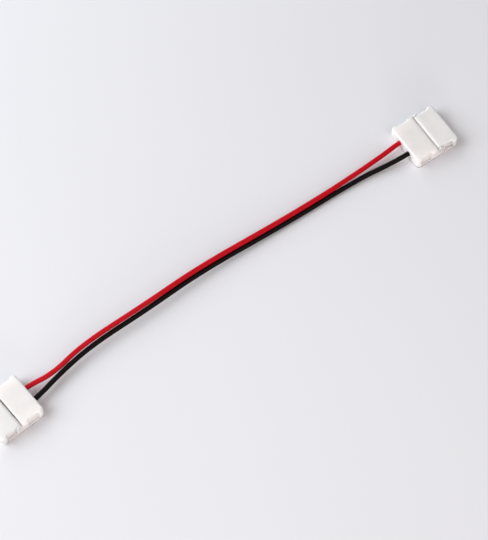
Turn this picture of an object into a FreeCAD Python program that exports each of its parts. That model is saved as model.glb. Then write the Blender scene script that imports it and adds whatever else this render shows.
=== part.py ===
import FreeCAD, Part
import math
import os

import Sketcher

# Two-wire strip connector: a clip housing at each end of a red and black lead.
# Each housing is a moulded base with a hinged snap lid and two sprung contacts.
# Housing frame: +X points to the strip side, the wires leave towards -X, +Z is up,
# and the origin is the middle of the underside. All lengths are in millimetres.

SIZES = {
    # Housing as a whole
    "housing_length": 15.8,
    "housing_width": 15.0,
    "housing_height": 4.4,
    "grip_width": 13.9,
    "rear_ear_length": 1.9,
    "front_ear_length": 2.2,
    "block_front": 0.02,
    "skirt_height": 0.8,
    "skirt_front": 5.5,
    # Strip channel
    "floor_thickness": 1.0,
    "wall_height": 3.15,
    "channel_width": 10.4,
    "tray_width": 13.0,
    "tray_front": 7.7,
    "channel_flare": 0.6,
    "cut_margin": 1.0,
    # Hinge
    "hinge_along": 1.35,
    "hinge_up": 3.4,
    "barrel_radius": 1.0,
    "barrel_width": 13.7,
    "cradle_radius": 1.1,
    "cradle_width": 13.9,
    "ear_radius": 0.95,
    "trunnion_radius": 0.45,
    "trunnion_span": 14.8,
    "trunnion_hole_radius": 0.5,
    # Lid
    "plate_thickness": 1.2,
    "hook_along": 5.8,
    "hook_inner": 6.6,
    "hook_bottom": 0.6,
    "hook_foot_rear": 6.5,
    "hook_foot_front": 7.4,
    "hook_toe_up": 1.1,
    "hook_heel_up": 1.9,
    "panel_rear": 3.1,
    "panel_front": 7.5,
    "panel_width": 9.8,
    "panel_depth": 0.45,
    "rib_rear": 3.7,
    "rib_front": 6.1,
    "rib_width": 1.3,
    "rib_depth": 0.6,
    # Terminal cavities
    "pitch": 4.8,
    "wire_up": 2.3,
    "cavity_rear": -4.6,
    "cavity_width": 1.7,
    "cavity_top": 3.0,
    # Contacts
    "sheet": 0.25,
    "tongue_width": 1.6,
    "crimp_rear": -4.4,
    "crimp_front": -2.4,
    "neck_front": -1.3,
    "base_front": 1.3,
    "crest_along": 4.7,
    "crest_up": 1.7,
    "tip_along": 5.9,
    "tip_up": 1.3,
    "barb_rear": -1.1,
    "barb_length": 0.6,
    # Edge rounding
    "corner_radius": 1.2,
    "ear_bevel": 0.3,
    "grip_bevel": 0.2,
    "top_bevel": 0.28,
    "hinge_bevel": 0.15,
    "bend_radius": 0.2,
    # Wires
    "insulation_radius": 0.8,
    "core_radius": 0.38,
    "insulation_end": -4.9,
    "core_end": -2.5,
    "straight_end": -10.9,
    # Where the two housings lie
    "housing_offset": 79.06,
    "left_yaw": 183.74,
    "right_yaw": -3.0,
}

# A run's arc takes this share of it at each end
ARC_SHARE = 0.45

# Lengths in millimetres nearer than this are the same
SAME_LENGTH = 1e-3

# A feature that changes the volume by less than this, in cubic millimetres, has failed
LEAST_CHANGE = 1e-4

# Routes of the two wires between the housings, chosen by hand
RED_ROUTE = [
    (-61.3, 1.75, 2.75),
    (-49.5, 4.15, 3.45),
    (-31.0, 3.85, 3.6),
    (-3.0, 4.65, 2.9),
    (27.0, 2.75, 1.95),
    (49.0, 2.55, 1.8),
    (60.2, 2.1, 2.05),
]
BLACK_ROUTE = [
    (-61.0, 0.5, 2.45),
    (-49.2, 2.5, 2.5),
    (-31.0, 2.55, 2.45),
    (-3.1, 3.45, 1.8),
    (26.9, 1.6, 0.8),
    (49.0, 1.05, 0.8),
    (60.4, -0.75, 1.75),
]


def make_sheet(document):
    """Put every driving size in the spreadsheet under its own name."""
    sheet = document.addObject("Spreadsheet::Sheet", "Sizes")
    for row, (name, value) in enumerate(SIZES.items(), start=1):
        sheet.set(f"A{row}", name)
        sheet.set(f"B{row}", str(value))
        sheet.setAlias(f"B{row}", name)
    document.recompute()
    return sheet


def bound(formula):
    """Turn names of sizes in a formula into references to the spreadsheet."""
    for name in sorted(SIZES, key=len, reverse=True):
        formula = formula.replace(name, f"<{list(SIZES).index(name)}>")
    for index, name in enumerate(SIZES):
        formula = formula.replace(f"<{index}>", f"Sizes.{name}")
    return formula


def value(sheet, formula):
    """Work out a formula from the spreadsheet."""
    return float(sheet.evalExpression(bound(formula)))


# Sketch helpers


def make_sketch(body, name, role, offset=None):
    """Start a sketch on one of the body's own origin planes."""
    sketch = body.newObject("Sketcher::SketchObject", name)
    plane = next(item for item in body.Origin.OriginFeatures if item.Role == role)
    sketch.AttachmentSupport = [(plane, "")]
    sketch.MapMode = "FlatFace"
    if offset:
        sketch.setExpression("AttachmentOffset.Base.z", bound(offset))
    return sketch


def pin_point(sketch, sheet, geometry, position, corner):
    """Hold a point of the sketch at two formulas."""
    for kind, formula in zip(("DistanceX", "DistanceY"), corner):
        index = sketch.addConstraint(
            Sketcher.Constraint(kind, -1, 1, geometry, position, value(sheet, formula)))
        sketch.setExpression(f"Constraints[{index}]", bound(formula))


def add_polygon(sketch, sheet, corners):
    """Add a closed outline of straight lines through the corners."""
    first = sketch.GeometryCount
    count = len(corners)
    points = [FreeCAD.Vector(value(sheet, x), value(sheet, y), 0) for x, y in corners]
    for index in range(count):
        sketch.addGeometry(Part.LineSegment(points[index], points[(index + 1) % count]), False)
    for index in range(count):
        sketch.addConstraint(
            Sketcher.Constraint("Coincident", first + index, 2, first + (index + 1) % count, 1))
        pin_point(sketch, sheet, first + index, 1, corners[index])


def add_circle(sketch, sheet, centre, radius):
    """Add a circle with its centre and radius held by formulas."""
    middle = FreeCAD.Vector(value(sheet, centre[0]), value(sheet, centre[1]), 0)
    size = value(sheet, radius)
    index = sketch.addGeometry(Part.Circle(middle, FreeCAD.Vector(0, 0, 1), size), False)
    pin_point(sketch, sheet, index, 3, centre)
    held = sketch.addConstraint(Sketcher.Constraint("Radius", index, size))
    sketch.setExpression(f"Constraints[{held}]", bound(radius))


def rectangle(x_low, x_high, y_low, y_high):
    """Corners of a rectangle between four formulas."""
    return [(x_low, y_low), (x_high, y_low), (x_high, y_high), (x_low, y_high)]


def eight_sides(middle, up, reach):
    """Corners of a regular eight-sided outline, each side as far from its middle as the reach."""
    half = f"({reach}) * tan(22.5 deg)"
    steps = [
        (reach, half), (half, reach), (f"-{half}", reach), (f"-({reach})", half),
        (f"-({reach})", f"-{half}"), (f"-{half}", f"-({reach})"), (half, f"-({reach})"),
        (reach, f"-{half}"),
    ]
    return [(f"{middle} + ({along})", f"{up} + ({over})") for along, over in steps]


def both_sides(half):
    """Corners of an outline that is the same on both sides of the X axis."""
    return half + [(x, f"-({y})") for x, y in reversed(half)]


# Feature helpers


def finish_feature(body, feature, volume_before, grows):
    """Recompute and confirm that the feature changed the solid the right way."""
    body.Document.recompute()
    body.Tip = feature
    change = feature.Shape.Volume - volume_before
    if (change > 0) != grows or abs(change) < LEAST_CHANGE:
        raise RuntimeError(f"{body.Label} {feature.Name} changed the volume by {change}")
    return feature


def volume_so_far(body):
    """Volume of the body before its next feature."""
    return body.Tip.Shape.Volume if body.Tip else 0.0


def pad(body, sketch, name, length, side="One side", flip=False):
    """Pad a sketch by a formula."""
    before = volume_so_far(body)
    feature = body.newObject("PartDesign::Pad", name)
    feature.Profile = sketch
    feature.SideType = side
    feature.Reversed = flip
    feature.setExpression("Length", bound(length))
    return finish_feature(body, feature, before, True)


def pocket(body, sketch, name, length, side="One side", flip=False):
    """Cut a sketch into the body by a formula."""
    before = volume_so_far(body)
    feature = body.newObject("PartDesign::Pocket", name)
    feature.Profile = sketch
    feature.SideType = side
    feature.Reversed = flip
    feature.setExpression("Length", bound(length))
    return finish_feature(body, feature, before, False)


def mirror(body, originals, name):
    """Repeat features on the other side of the housing's middle plane."""
    before = volume_so_far(body)
    grows = "Pad" in originals[0].TypeId
    feature = body.newObject("PartDesign::Mirrored", name)
    feature.Originals = originals
    plane = next(item for item in body.Origin.OriginFeatures if item.Role == "XZ_Plane")
    feature.MirrorPlane = (plane, [""])
    return finish_feature(body, feature, before, grows)


def round_edges(body, name, radius, wanted, kind="Fillet"):
    """Round or chamfer the edges of the tip that the test picks."""
    tip = body.Tip
    names = [f"Edge{index}" for index, edge in enumerate(tip.Shape.Edges, start=1) if wanted(edge)]
    if not names:
        raise RuntimeError(f"{body.Label} {name} finds no edge")
    feature = body.newObject(f"PartDesign::{kind}", name)
    feature.Base = (tip, names)
    feature.setExpression("Radius" if kind == "Fillet" else "Size", bound(radius))
    body.Document.recompute()
    if "Invalid" in feature.State or feature.Shape.isNull():
        raise RuntimeError(f"{body.Label} {name} fails")
    body.Tip = feature
    return feature


def edge_ends(edge):
    """Both ends of an edge, or its one vertex twice."""
    points = [vertex.Point for vertex in edge.Vertexes]
    return points[0], points[-1]


def near(first, second):
    """Whether two lengths are the same."""
    return abs(first - second) < SAME_LENGTH


def is_at(place, places):
    """Whether a length is one of those given."""
    return any(near(place, other) for other in places)


def is_vertical(edge):
    """Whether an edge is a straight line along Z."""
    start, end = edge_ends(edge)
    return near(start.x, end.x) and near(start.y, end.y) and not near(start.z, end.z)


def at_level(edge, level):
    """Whether both ends of an edge lie at one height."""
    start, end = edge_ends(edge)
    return near(start.z, level) and near(end.z, level)


# Moulded base


def block_outline():
    """Half outline of the closed rear block, with its grip between two ears."""
    rear = "-housing_length / 2"
    wide = "housing_width / 2"
    narrow = "grip_width / 2"
    return [
        (rear, wide),
        (f"{rear} + rear_ear_length", wide),
        (f"{rear} + rear_ear_length", narrow),
        ("block_front - front_ear_length", narrow),
        ("block_front - front_ear_length", wide),
    ]


def make_base(document, sheet, name):
    """Base: closed wire block, hinge ears, and the open tray for the strip on its skirt."""
    body = document.addObject("PartDesign::Body", name)
    wide = "housing_width / 2"
    narrow = "tray_width / 2"
    ear_front = "hinge_along + ear_radius"

    plan = make_sketch(body, "tray_plan", "XY_Plane")
    half = block_outline() + [(ear_front, wide), (ear_front, narrow), ("tray_front", narrow)]
    add_polygon(plan, sheet, both_sides(half))
    pad(body, plan, "tray", "wall_height")

    plan = make_sketch(body, "skirt_plan", "XY_Plane")
    add_polygon(plan, sheet, both_sides([("-housing_length / 2", wide), ("skirt_front", wide)]))
    pad(body, plan, "skirt", "skirt_height")

    plan = make_sketch(body, "block_plan", "XY_Plane")
    add_polygon(plan, sheet, both_sides(block_outline() + [("block_front", wide)]))
    pad(body, plan, "block", "housing_height")

    side = make_sketch(body, "ear_side", "XZ_Plane")
    add_circle(side, sheet, ("hinge_along", "hinge_up"), "ear_radius")
    pad(body, side, "ear_tops", "housing_width", "Symmetric")
    side = make_sketch(body, "ear_foot_side", "XZ_Plane")
    add_polygon(side, sheet, rectangle(
        "hinge_along - ear_radius", ear_front, "floor_thickness", "hinge_up"))
    pad(body, side, "ear_feet", "housing_width", "Symmetric")

    side = make_sketch(body, "cradle_side", "XZ_Plane")
    add_circle(side, sheet, ("hinge_along", "hinge_up"), "cradle_radius")
    pocket(body, side, "hinge_cradle", "cradle_width", "Symmetric")
    side = make_sketch(body, "hole_side", "XZ_Plane")
    add_circle(side, sheet, ("hinge_along", "hinge_up"), "trunnion_hole_radius")
    pocket(body, side, "trunnion_holes", "housing_width", "Symmetric")

    front = "tray_front + cut_margin"
    flare = "channel_width / 2 + channel_flare"
    plan = make_sketch(body, "channel_plan", "XY_Plane", "floor_thickness")
    half = [
        ("block_front", "channel_width / 2"),
        ("tray_front - 2 * channel_flare", "channel_width / 2"),
        ("tray_front", flare),
        (front, flare),
    ]
    add_polygon(plan, sheet, both_sides(half))
    pocket(body, plan, "strip_channel", "housing_height", flip=True)

    make_terminal_cavities(body, sheet)
    round_base(body, sheet)
    return body


def make_terminal_cavities(body, sheet):
    """Wire bores from the rear face, and the contact cavities that they run into."""
    rear = "-housing_length / 2"
    bore = make_sketch(body, "wire_bores", "YZ_Plane", rear)
    cavity = make_sketch(body, "contact_cavities", "YZ_Plane", "block_front")
    for sign in ("", "-"):
        middle = f"{sign}pitch / 2"
        add_circle(bore, sheet, (middle, "wire_up"), "insulation_radius")
        add_polygon(cavity, sheet, rectangle(
            f"{middle} - cavity_width / 2", f"{middle} + cavity_width / 2",
            "floor_thickness", "cavity_top"))
    pocket(body, bore, "bores", "cavity_rear + housing_length / 2", flip=True)
    pocket(body, cavity, "cavities", "block_front - cavity_rear")


def round_base(body, sheet):
    """Round the moulding's rear corners, and bevel its ears, its grips and the rim of its top."""
    wide = value(sheet, "housing_width / 2")
    narrow = value(sheet, "grip_width / 2")
    rear = value(sheet, "-housing_length / 2")
    top = value(sheet, "housing_height")
    front = value(sheet, "block_front")
    grip_ends = [
        rear + value(sheet, "rear_ear_length"),
        value(sheet, "block_front - front_ear_length"),
    ]

    def side_corner(edge, level, places):
        start = edge_ends(edge)[0]
        return is_vertical(edge) and near(abs(start.y), level) and is_at(start.x, places)

    def is_front(edge):
        start, end = edge_ends(edge)
        return near(start.x, front) and near(end.x, front)

    round_edges(body, "rear_corners", "corner_radius", lambda edge: side_corner(edge, wide, [rear]))
    round_edges(body, "ear_corners", "ear_bevel",
                lambda edge: side_corner(edge, wide, grip_ends), "Chamfer")
    round_edges(body, "grip_corners", "grip_bevel",
                lambda edge: side_corner(edge, narrow, grip_ends), "Chamfer")
    round_edges(body, "top_edges", "top_bevel",
                lambda edge: at_level(edge, top) and not is_front(edge), "Chamfer")
    round_edges(body, "hinge_edge", "hinge_bevel",
                lambda edge: at_level(edge, top) and is_front(edge), "Chamfer")


# Snap lid


def make_lid(document, sheet, name):
    """Lid: hinged barrel and plate, press ribs beneath, hooks at its front corners."""
    body = document.addObject("PartDesign::Body", name)
    front = "housing_length / 2"
    wide = "housing_width / 2"
    under = "housing_height - plate_thickness"

    side = make_sketch(body, "barrel_side", "XZ_Plane")
    add_circle(side, sheet, ("hinge_along", "hinge_up"), "barrel_radius")
    pad(body, side, "barrel", "barrel_width", "Symmetric")

    plan = make_sketch(body, "plate_plan", "XY_Plane", under)
    half = [
        ("hinge_along", "barrel_width / 2"),
        ("hook_along", "barrel_width / 2"),
        ("hook_along", wide),
        (front, wide),
    ]
    add_polygon(plan, sheet, both_sides(half))
    pad(body, plan, "plate", "plate_thickness")

    plan = make_sketch(body, "panel_plan", "XY_Plane", under)
    add_polygon(plan, sheet, both_sides([
        ("panel_rear", "panel_width / 2"), ("panel_front", "panel_width / 2")]))
    pad(body, plan, "panel", "panel_depth", flip=True)
    plan = make_sketch(body, "rib_plan", "XY_Plane", f"{under} - panel_depth")
    for sign in ("", "-"):
        add_polygon(plan, sheet, rectangle(
            "rib_rear", "rib_front",
            f"{sign}pitch / 2 - rib_width / 2", f"{sign}pitch / 2 + rib_width / 2"))
    pad(body, plan, "press_ribs", "rib_depth", flip=True)

    side = make_sketch(body, "hook_side", "XZ_Plane", "hook_inner")
    add_polygon(side, sheet, [
        ("hook_along", under),
        ("hook_along", "hook_heel_up"),
        ("hook_foot_rear", "hook_bottom"),
        ("hook_foot_front", "hook_bottom"),
        (front, "hook_toe_up"),
        (front, under),
    ])
    hook = pad(body, side, "hook", f"{wide} - hook_inner")
    mirror(body, [hook], "hooks")

    side = make_sketch(body, "trunnion_side", "XZ_Plane")
    add_circle(side, sheet, ("hinge_along", "hinge_up"), "trunnion_radius")
    pad(body, side, "trunnions", "trunnion_span", "Symmetric")
    round_lid(body, sheet)
    return body


def round_lid(body, sheet):
    """Round the lid's front corners and its press ribs, and bevel its hooks and its rim."""
    wide = value(sheet, "housing_width / 2")
    narrow = value(sheet, "barrel_width / 2")
    front = value(sheet, "housing_length / 2")
    hook_along = value(sheet, "hook_along")
    hinge_along = value(sheet, "hinge_along")
    top = value(sheet, "housing_height")
    rib_bottom = value(sheet, "housing_height - plate_thickness - panel_depth - rib_depth")

    def corner(edge, level, along):
        start = edge_ends(edge)[0]
        return is_vertical(edge) and near(abs(start.y), level) and near(start.x, along)

    def top_rim(edge):
        start, end = edge_ends(edge)
        return at_level(edge, top) and max(start.x, end.x) > hinge_along + SAME_LENGTH

    round_edges(body, "front_corners", "corner_radius", lambda edge: corner(edge, wide, front))
    round_edges(body, "hook_corners", "ear_bevel",
                lambda edge: corner(edge, wide, hook_along), "Chamfer")
    round_edges(body, "grip_corners", "grip_bevel",
                lambda edge: corner(edge, narrow, hook_along), "Chamfer")
    round_edges(body, "top_rim", "top_bevel", top_rim, "Chamfer")
    round_edges(body, "rib_ends", "bend_radius", lambda edge: is_rib_end(edge, rib_bottom))


def is_rib_end(edge, level):
    """Whether an edge is the lower edge across a press rib's end."""
    start, end = edge_ends(edge)
    return at_level(edge, level) and near(start.x, end.x)


# Sprung contacts


def make_contact(document, sheet, name, sign):
    """Contact: crimp barrel, neck, flat base with barbs, and the sprung tongue."""
    body = document.addObject("PartDesign::Body", name)
    middle = f"{sign}pitch / 2"

    ring = make_sketch(body, "crimp_ring", "YZ_Plane", "crimp_rear")
    add_polygon(ring, sheet, eight_sides(middle, "wire_up", "core_radius + sheet"))
    add_circle(ring, sheet, (middle, "wire_up"), "core_radius")
    pad(body, ring, "crimp", "crimp_front - crimp_rear")

    side = make_sketch(body, "tongue_side", "XZ_Plane", f"-({middle} - tongue_width / 2)")
    neck_up = "wire_up - core_radius - sheet"
    lower = [
        ("crimp_front - 2 * sheet", neck_up),
        ("crimp_front", neck_up),
        ("neck_front", "floor_thickness"),
        ("base_front", "floor_thickness"),
        ("crest_along", "crest_up"),
        ("tip_along", "tip_up"),
    ]
    upper = [(x, f"{z} + sheet") for x, z in reversed(lower)]
    add_polygon(side, sheet, lower + upper)
    pad(body, side, "tongue", "tongue_width", flip=True)
    bends = [value(sheet, x) for x, _ in lower[2:-1]]
    round_edges(body, "bends", "bend_radius", lambda edge: is_bend(edge, bends))

    barb = make_sketch(body, "barb_plan", "XY_Plane", "floor_thickness")
    add_polygon(barb, sheet, rectangle(
        "barb_rear", "barb_rear + barb_length",
        f"{middle} - cavity_width / 2", f"{middle} + cavity_width / 2"))
    pad(body, barb, "barbs", "sheet")
    return body


def is_bend(edge, places):
    """Whether an edge runs across the tongue at one of its bends."""
    start, end = edge_ends(edge)
    across = near(start.x, end.x) and near(start.z, end.z) and not near(start.y, end.y)
    return across and is_at(start.x, places)


# Wires


def housing_placement(sheet, end):
    """Where a housing lies on the table."""
    side = 1.0 if end == "right" else -1.0
    place = FreeCAD.Vector(side * value(sheet, "housing_offset"), 0, 0)
    turn = FreeCAD.Rotation(FreeCAD.Vector(0, 0, 1), value(sheet, f"{end}_yaw"))
    return FreeCAD.Placement(place, turn)


def wire_points(sheet, colour, route):
    """Route from the insulation's end in the left housing to its end in the right one."""
    ends = {}
    for end in ("left", "right"):
        across = "pitch / 2" if (colour == "red") == (end == "right") else "-pitch / 2"
        seat = housing_placement(sheet, end)
        line = [value(sheet, across), value(sheet, "wire_up")]
        ends[end] = [
            seat.multVec(FreeCAD.Vector(value(sheet, along), *line))
            for along in ("insulation_end", "straight_end")
        ]
    middle = [FreeCAD.Vector(*point) for point in route]
    return ends["left"] + middle + ends["right"][::-1]


def smooth_path(points):
    """Straight runs joined by tangent arcs, each as large as its runs allow."""
    edges = []
    radii = []
    here = points[0]
    for before, corner, after in zip(points, points[1:], points[2:]):
        back = before - corner
        ahead = after - corner
        cut = ARC_SHARE * min(back.Length, ahead.Length)
        turn = math.pi - back.getAngle(ahead)
        radii.append(cut / math.tan(turn / 2))
        start = corner + back.normalize() * cut
        end = corner + ahead.normalize() * cut
        towards = (start + end) * 0.5 - corner
        reach = radii[-1] / math.cos(turn / 2) - radii[-1]
        middle = corner + towards.normalize() * reach
        edges.append(Part.LineSegment(here, start).toShape())
        edges.append(Part.Arc(start, middle, end).toShape())
        here = end
    edges.append(Part.LineSegment(here, points[-1]).toShape())
    return Part.Wire(edges), radii


def swept(path, points, radius):
    """Round section carried along a path."""
    ring = Part.Circle(points[0], points[1] - points[0], radius).toShape()
    return path.makePipeShell([Part.Wire([ring])], True, False)


def stripped_end(points, inner, length, radius):
    """Bare copper that leads on from the insulation's end."""
    start, neighbour = (points[0], points[1]) if inner == 0 else (points[-1], points[-2])
    return Part.makeCylinder(radius, length, start, start - neighbour)


def make_wires(document, sheet):
    """Both insulated wires, with the stripped ends that the contacts grip."""
    wires = []
    radius = value(sheet, "insulation_radius")
    bare_length = value(sheet, "core_end - insulation_end")
    bare_radius = value(sheet, "core_radius")
    for colour, route in (("red", RED_ROUTE), ("black", BLACK_ROUTE)):
        points = wire_points(sheet, colour, route)
        path, radii = smooth_path(points)
        tube = swept(path, points, radius)
        ratio = tube.Volume / (math.pi * radius ** 2 * path.Length)
        print(f"{colour} wire {path.Length:.1f} mm, radii from {min(radii):.1f} mm,"
              f" volume ratio {ratio:.4f}")
        for inner in (0, -1):
            tube = tube.fuse(stripped_end(points, inner, bare_length, bare_radius))
        feature = document.addObject("Part::Feature", f"{colour}_wire")
        feature.Shape = tube
        wires.append(feature)
    return wires


# Whole part


def check(document, pieces):
    """Stop unless every object and every piece's solid is sound."""
    for item in document.Objects:
        if any(word in item.State for word in ("Invalid", "Error")):
            raise RuntimeError(f"{item.Label} is {item.State}")
    for piece in pieces:
        if piece.Shape.isNull() or not piece.Shape.isValid() or len(piece.Shape.Solids) != 1:
            raise RuntimeError(f"{piece.Label} is not one sound solid")


def main():
    document = FreeCAD.newDocument("strip_connector")
    sheet = make_sheet(document)
    pieces = []
    for end in ("left", "right"):
        seat = housing_placement(sheet, end)
        made = [make_base(document, sheet, f"base_{end}"), make_lid(document, sheet, f"lid_{end}")]
        for colour in ("red", "black"):
            sign = "" if (colour == "red") == (end == "right") else "-"
            made.append(make_contact(document, sheet, f"contact_{colour}_{end}", sign))
        for body in made:
            body.Placement = seat
        pieces += made
    pieces += make_wires(document, sheet)
    document.recompute()
    check(document, pieces)
    os.makedirs("parts", exist_ok=True)
    for piece in pieces:
        piece.Shape.exportStep(f"parts/{piece.Label}.step")
        print(f"{piece.Label} {piece.Shape.Volume:.2f} mm3")


main()
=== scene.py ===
import math

import bpy
from mathutils import Matrix, Vector


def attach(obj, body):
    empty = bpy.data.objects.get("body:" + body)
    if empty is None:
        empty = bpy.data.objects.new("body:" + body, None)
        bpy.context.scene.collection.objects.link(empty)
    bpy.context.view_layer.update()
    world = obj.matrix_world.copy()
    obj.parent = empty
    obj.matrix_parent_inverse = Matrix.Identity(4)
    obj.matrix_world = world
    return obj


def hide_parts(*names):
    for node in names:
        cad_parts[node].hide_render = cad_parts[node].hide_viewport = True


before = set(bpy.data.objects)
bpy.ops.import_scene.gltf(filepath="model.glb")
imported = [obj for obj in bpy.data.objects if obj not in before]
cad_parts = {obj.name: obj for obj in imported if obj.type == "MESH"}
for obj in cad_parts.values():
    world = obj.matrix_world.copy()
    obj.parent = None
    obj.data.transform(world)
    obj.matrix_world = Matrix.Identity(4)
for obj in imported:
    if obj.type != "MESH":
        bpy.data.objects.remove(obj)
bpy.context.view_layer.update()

# All lengths are in metres and all angles in degrees, in the frame that the part lies in

# Camera, at the photograph's viewing angle
CAMERA_TARGET = Vector((0.0053, -0.00326, 0.0))
CAMERA_AZIMUTH = -35.96
CAMERA_ELEVATION = 63.35
CAMERA_ROLL = -0.49
CAMERA_DISTANCE = 0.5856
LENS_MM = 126.45

# Where the two housings lie, and the wires in them, whose straight ends are 2 mm shorter than in the source
HOUSING_OFFSET = 0.07906
HOUSING_YAW = {"left": 183.74, "right": -3.0}
PITCH = 0.0048
WIRE_UP = 0.0023
INSULATION_END = -0.0049
CORE_END = -0.0025
STRAIGHT_END = -0.0089
WIRE_DIAMETER = 0.0016

# Seven copper strands in each stripped end, six of them twisted round the first
STRANDS = 7
STRAND_RADIUS = 0.000124
STRAND_TWIST = 35
STRAND_POINTS = 6

# Steps between a cord's control points, and the bevel resolution that makes it 20-sided
CORD_STEPS = 24
CORD_BEVEL = 8

# Routes of the two wires between the housings: the source's points, moved to follow the photograph
ROUTES = {
    "red": [
        (-0.0617, 0.0017, 0.00275),
        (-0.0499, 0.00405, 0.00345),
        (-0.0274, 0.0038, 0.0036),
        (-0.0059, 0.0046, 0.0029),
        (0.0230, 0.00295, 0.00195),
        (0.0450, 0.0022, 0.0018),
        (0.0640, 0.0024, 0.00205),
    ],
    "black": [
        (-0.0594, 0.0008, 0.00245),
        (-0.0468, 0.00265, 0.0025),
        (-0.0270, 0.0025, 0.00245),
        (-0.0061, 0.00345, 0.0018),
        (0.0254, 0.00165, 0.0008),
        (0.0530, 0.0008, 0.0008),
        (0.0642, -0.0013, 0.00175),
    ],
}

# Insulation of each wire: the two colours that it varies between, its gloss and its roughness
INSULATION = {
    "red": ((0.50, 0.002, 0.009), (0.57, 0.004, 0.014), 0.12, 0.38),
    "black": ((0.004, 0.0022, 0.0026), (0.006, 0.0032, 0.0038), 0.12, 0.6),
}
ROUGHNESS_VARIES = 0.06

# Table, a hair below the part
TABLE_HALF = 2.0
TABLE_DROP = 0.00002

# Soft lights: azimuth, elevation, distance, width, power in watts and colour
LAMPS = {
    "key": (-119, 38, 0.9, 0.75, 7.9, (0.93, 0.985, 1.0)),
    "back": (180, 30, 0.9, 0.6, 3.1, (0.95, 0.99, 1.0)),
    "front": (-28, 12, 1.2, 0.3, 4.2, (1.0, 0.97, 0.91)),
    "high": (0, 45, 0.9, 0.7, 2.9, (1.0, 0.9, 0.87)),
}
WORLD_COLOUR = (1.0, 0.98, 0.98)
WORLD_STRENGTH = 0.12


# Camera


def direction(azimuth, elevation):
    """Unit vector from the object towards an azimuth and an elevation."""
    around = math.radians(azimuth)
    above = math.radians(elevation)
    flat = math.cos(above)
    return Vector((math.sin(around) * flat, -math.cos(around) * flat, math.sin(above)))


def make_camera():
    """Camera on the photograph's line of sight, with its small roll."""
    back = direction(CAMERA_AZIMUTH, CAMERA_ELEVATION)
    level = Vector((math.cos(math.radians(CAMERA_AZIMUTH)), math.sin(math.radians(CAMERA_AZIMUTH)), 0))
    up = back.cross(level)
    turn = Matrix((level, up, back)).transposed() @ Matrix.Rotation(math.radians(CAMERA_ROLL), 3, "Z")
    data = bpy.data.cameras.new("camera")
    data.lens = LENS_MM
    data.clip_start = 0.01
    data.clip_end = 20
    camera = bpy.data.objects.new("camera", data)
    camera.matrix_world = Matrix.Translation(CAMERA_TARGET + back * CAMERA_DISTANCE) @ turn.to_4x4()
    bpy.context.scene.collection.objects.link(camera)
    bpy.context.scene.camera = camera


# Material helpers


def start_material(name):
    """New node material, with its tree and its shader."""
    material = bpy.data.materials.new(name)
    material.use_nodes = True
    tree = material.node_tree
    return material, tree, tree.nodes["Principled BSDF"]


def add_node(tree, kind, inputs=None, **settings):
    """Add a node, set its properties, and set or link its inputs."""
    node = tree.nodes.new(kind)
    for name, value in settings.items():
        setattr(node, name, value)
    for name, value in (inputs or {}).items():
        if isinstance(value, bpy.types.NodeSocket):
            tree.links.new(value, node.inputs[name])
        else:
            node.inputs[name].default_value = value
    return node


def set_shader(tree, shader, inputs):
    """Set or link the shader's inputs."""
    for name, value in inputs.items():
        if isinstance(value, bpy.types.NodeSocket):
            tree.links.new(value, shader.inputs[name])
        else:
            shader.inputs[name].default_value = value


def noise(tree, vector, scale, detail=2.0):
    """Noise of a scale per metre."""
    node = add_node(tree, "ShaderNodeTexNoise", {"Vector": vector, "Scale": scale, "Detail": detail})
    return node.outputs["Fac"]


def spread(tree, factor, low, high):
    """Stretch a factor over a range of numbers."""
    node = add_node(tree, "ShaderNodeMapRange", {
        "Value": factor, "From Min": 0.3, "From Max": 0.7, "To Min": low, "To Max": high})
    return node.outputs["Result"]


def colour_between(tree, factor, first, second):
    """Ramp between two colours."""
    node = add_node(tree, "ShaderNodeValToRGB", {"Fac": factor})
    node.color_ramp.elements[0].position = 0.3
    node.color_ramp.elements[1].position = 0.7
    node.color_ramp.elements[0].color = (*first, 1)
    node.color_ramp.elements[1].color = (*second, 1)
    return node.outputs["Color"]


def bump(tree, height, distance, strength, normal=None):
    """Bump of a depth in metres."""
    inputs = {"Height": height, "Distance": distance, "Strength": strength}
    if normal:
        inputs["Normal"] = normal
    return add_node(tree, "ShaderNodeBump", inputs).outputs["Normal"]


def object_place(tree):
    """Place on the object, in metres."""
    return add_node(tree, "ShaderNodeTexCoord").outputs["Object"]


# Materials


def white_plastic():
    """Moulded white plastic: satin, a little translucent, with a fine spark-eroded grain."""
    material, tree, shader = start_material("white_plastic")
    place = object_place(tree)
    cloud = noise(tree, place, 260, 3)
    grain = noise(tree, place, 9000, 3)
    soft_edges = add_node(tree, "ShaderNodeBevel", {"Radius": 0.00015}, samples=8).outputs["Normal"]
    wavy = bump(tree, cloud, 0.00004, 0.35, soft_edges)
    set_shader(tree, shader, {
        "Base Color": colour_between(tree, cloud, (0.87, 0.825, 0.81), (0.90, 0.855, 0.84)),
        "Roughness": spread(tree, grain, 0.38, 0.52),
        "Normal": bump(tree, grain, 0.000006, 0.4, wavy),
        "Subsurface Weight": 1.0,
        "Subsurface Radius": (1.0, 0.96, 0.93),
        "Subsurface Scale": 0.0022,
        "IOR": 1.5,
    })
    return material


def contact_brass():
    """Stamped brass strip with fine rolling lines along it."""
    material, tree, shader = start_material("contact_brass")
    place = object_place(tree)
    along = add_node(tree, "ShaderNodeMapping", {"Vector": place, "Scale": (0.06, 1, 1)})
    lines = noise(tree, along.outputs["Vector"], 16000, 2)
    stain = noise(tree, place, 900, 3)
    set_shader(tree, shader, {
        "Base Color": colour_between(tree, stain, (0.72, 0.50, 0.23), (0.83, 0.62, 0.33)),
        "Metallic": 1.0,
        "Roughness": spread(tree, stain, 0.22, 0.36),
        "Normal": bump(tree, lines, 0.000004, 0.4),
    })
    return material


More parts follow.
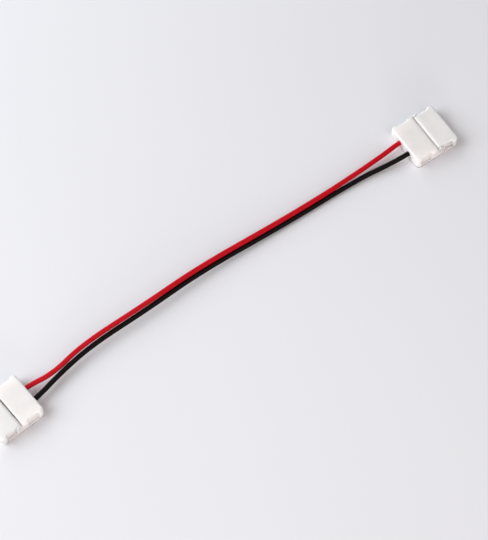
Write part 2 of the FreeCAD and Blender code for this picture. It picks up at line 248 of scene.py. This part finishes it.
def insulation(name, first, second, specular, roughness):
    """Soft glossy insulation with faint lines from its extrusion."""
    material, tree, shader = start_material(name)
    place = object_place(tree)
    cloud = noise(tree, place, 700, 3)
    pits = noise(tree, place, 6000, 2)
    strip = add_node(tree, "ShaderNodeTexCoord").outputs["UV"]
    along = add_node(tree, "ShaderNodeMapping", {"Vector": strip, "Scale": (2.0, 30.0, 1.0)})
    lines = noise(tree, along.outputs["Vector"], 1.0, 2)
    wavy = bump(tree, lines, 0.00002, 0.35)
    set_shader(tree, shader, {
        "Base Color": colour_between(tree, cloud, first, second),
        "Roughness": spread(tree, cloud, roughness - ROUGHNESS_VARIES, roughness + ROUGHNESS_VARIES),
        "Specular IOR Level": specular,
        "Normal": bump(tree, pits, 0.000008, 0.3, wavy),
    })
    return material


def bare_copper():
    """Drawn copper strands."""
    material, tree, shader = start_material("bare_copper")
    place = object_place(tree)
    stain = noise(tree, place, 2500, 3)
    set_shader(tree, shader, {
        "Base Color": colour_between(tree, stain, (0.72, 0.33, 0.19), (0.90, 0.52, 0.36)),
        "Metallic": 1.0,
        "Roughness": spread(tree, stain, 0.25, 0.42),
        "Normal": bump(tree, stain, 0.00001, 0.3),
    })
    return material


def table_top():
    """Pale table that the part lies on."""
    material, tree, shader = start_material("table_top")
    place = object_place(tree)
    cloud = noise(tree, place, 6, 2)
    set_shader(tree, shader, {
        "Base Color": colour_between(tree, cloud, (0.80, 0.79, 0.825), (0.82, 0.81, 0.845)),
        "Roughness": 0.6,
        "Specular IOR Level": 0.2,
    })
    return material


# Wires


def seat(end):
    """Where a housing lies, as a matrix."""
    side = 1 if end == "right" else -1
    place = Matrix.Translation((side * HOUSING_OFFSET, 0, 0))
    return place @ Matrix.Rotation(math.radians(HOUSING_YAW[end]), 4, "Z")


def wire_place(colour, end, along):
    """Point on a wire's line in a housing, at a distance along the housing."""
    across = PITCH / 2 if (colour == "red") == (end == "right") else -PITCH / 2
    return seat(end) @ Vector((along, across, WIRE_UP))


def smooth_curve(name, points, radius):
    """Round cord along one smooth line with these control points."""
    data = bpy.data.curves.new(name, "CURVE")
    data.dimensions = "3D"
    data.resolution_u = CORD_STEPS
    data.bevel_depth = radius
    data.bevel_resolution = CORD_BEVEL
    data.use_fill_caps = True
    line = data.splines.new("NURBS")
    line.points.add(len(points) - 1)
    for control, point in zip(line.points, points):
        control.co = (*point, 1)
    line.order_u = 3
    line.use_endpoint_u = True
    cord = bpy.data.objects.new(name, data)
    bpy.context.scene.collection.objects.link(cord)
    return cord


def make_strands(colour, end, material):
    """Stripped end of a wire: one straight strand and the others twisted round it."""
    data = bpy.data.curves.new(f"{colour}_strands_{end}", "CURVE")
    data.dimensions = "3D"
    data.bevel_depth = STRAND_RADIUS
    data.bevel_resolution = 2
    data.use_fill_caps = True
    middle = [wire_place(colour, end, along) for along in (INSULATION_END, CORE_END)]
    upwards = Vector((0, 0, 1))
    across = upwards.cross(middle[1] - middle[0]).normalized()
    for strand in range(STRANDS):
        reach = 2 * STRAND_RADIUS if strand else 0
        line = data.splines.new("NURBS")
        line.points.add(STRAND_POINTS - 1)
        for step, control in enumerate(line.points):
            along = step / (STRAND_POINTS - 1)
            turn = math.radians(360 / (STRANDS - 1) * strand + STRAND_TWIST * along)
            away = across * math.cos(turn) + upwards * math.sin(turn)
            control.co = (*(middle[0].lerp(middle[1], along) + away * reach), 1)
        line.order_u = 3
        line.use_endpoint_u = True
    data.materials.append(material)
    strands = bpy.data.objects.new(data.name, data)
    bpy.context.scene.collection.objects.link(strands)
    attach(strands, "root")
    return strands


def make_wire(colour, material, copper):
    """Insulated wire from its end in the left housing to its end in the right one."""
    left = [wire_place(colour, "left", along) for along in (INSULATION_END, STRAIGHT_END)]
    right = [wire_place(colour, "right", along) for along in (STRAIGHT_END, INSULATION_END)]
    wire = smooth_curve(f"{colour}_insulation", left + ROUTES[colour] + right, WIRE_DIAMETER / 2)
    wire.data.materials.append(material)
    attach(wire, "root")
    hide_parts(f"{colour}_wire")
    [make_strands(colour, end, copper) for end in HOUSING_YAW]


# Table, light and surroundings


def make_table(material):
    """Wide plain surface under the part."""
    data = bpy.data.meshes.new("table")
    corners = [(x * TABLE_HALF, y * TABLE_HALF, 0) for x, y in ((-1, -1), (1, -1), (1, 1), (-1, 1))]
    data.from_pydata(corners, [], [(0, 1, 2, 3)])
    data.materials.append(material)
    table = bpy.data.objects.new("table", data)
    table.location.z = -TABLE_DROP
    bpy.context.scene.collection.objects.link(table)


def make_lamp(name, azimuth, elevation, distance, size, power, colour):
    """Square soft light that faces the part."""
    data = bpy.data.lights.new(name, "AREA")
    data.size = size
    data.energy = power
    data.color = colour
    lamp = bpy.data.objects.new(name, data)
    away = direction(azimuth, elevation)
    lamp.location = away * distance
    lamp.rotation_euler = away.to_track_quat("Z", "Y").to_euler()
    bpy.context.scene.collection.objects.link(lamp)


def make_world():
    """Even pale surroundings."""
    world = bpy.data.worlds.new("world")
    world.use_nodes = True
    background = world.node_tree.nodes["Background"]
    background.inputs["Color"].default_value = (*WORLD_COLOUR, 1)
    background.inputs["Strength"].default_value = WORLD_STRENGTH
    bpy.context.scene.world = world


# Whole scene


def paint_nodes(material, *nodes):
    """Give CAD nodes their material."""
    for node in nodes:
        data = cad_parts[node].data
        data.materials.clear()
        data.materials.append(material)


make_camera()
copper = bare_copper()
for colour, look in INSULATION.items():
    make_wire(colour, insulation(f"{colour}_insulation", *look), copper)
paint_nodes(white_plastic(), "base_left", "base_right", "lid_left", "lid_right")
paint_nodes(contact_brass(), *[f"contact_{colour}_{end}" for colour in ROUTES for end in HOUSING_YAW])
make_table(table_top())
make_world()
for name, setting in LAMPS.items():
    make_lamp(name, *setting)
bpy.context.scene.view_settings.view_transform = "Standard"
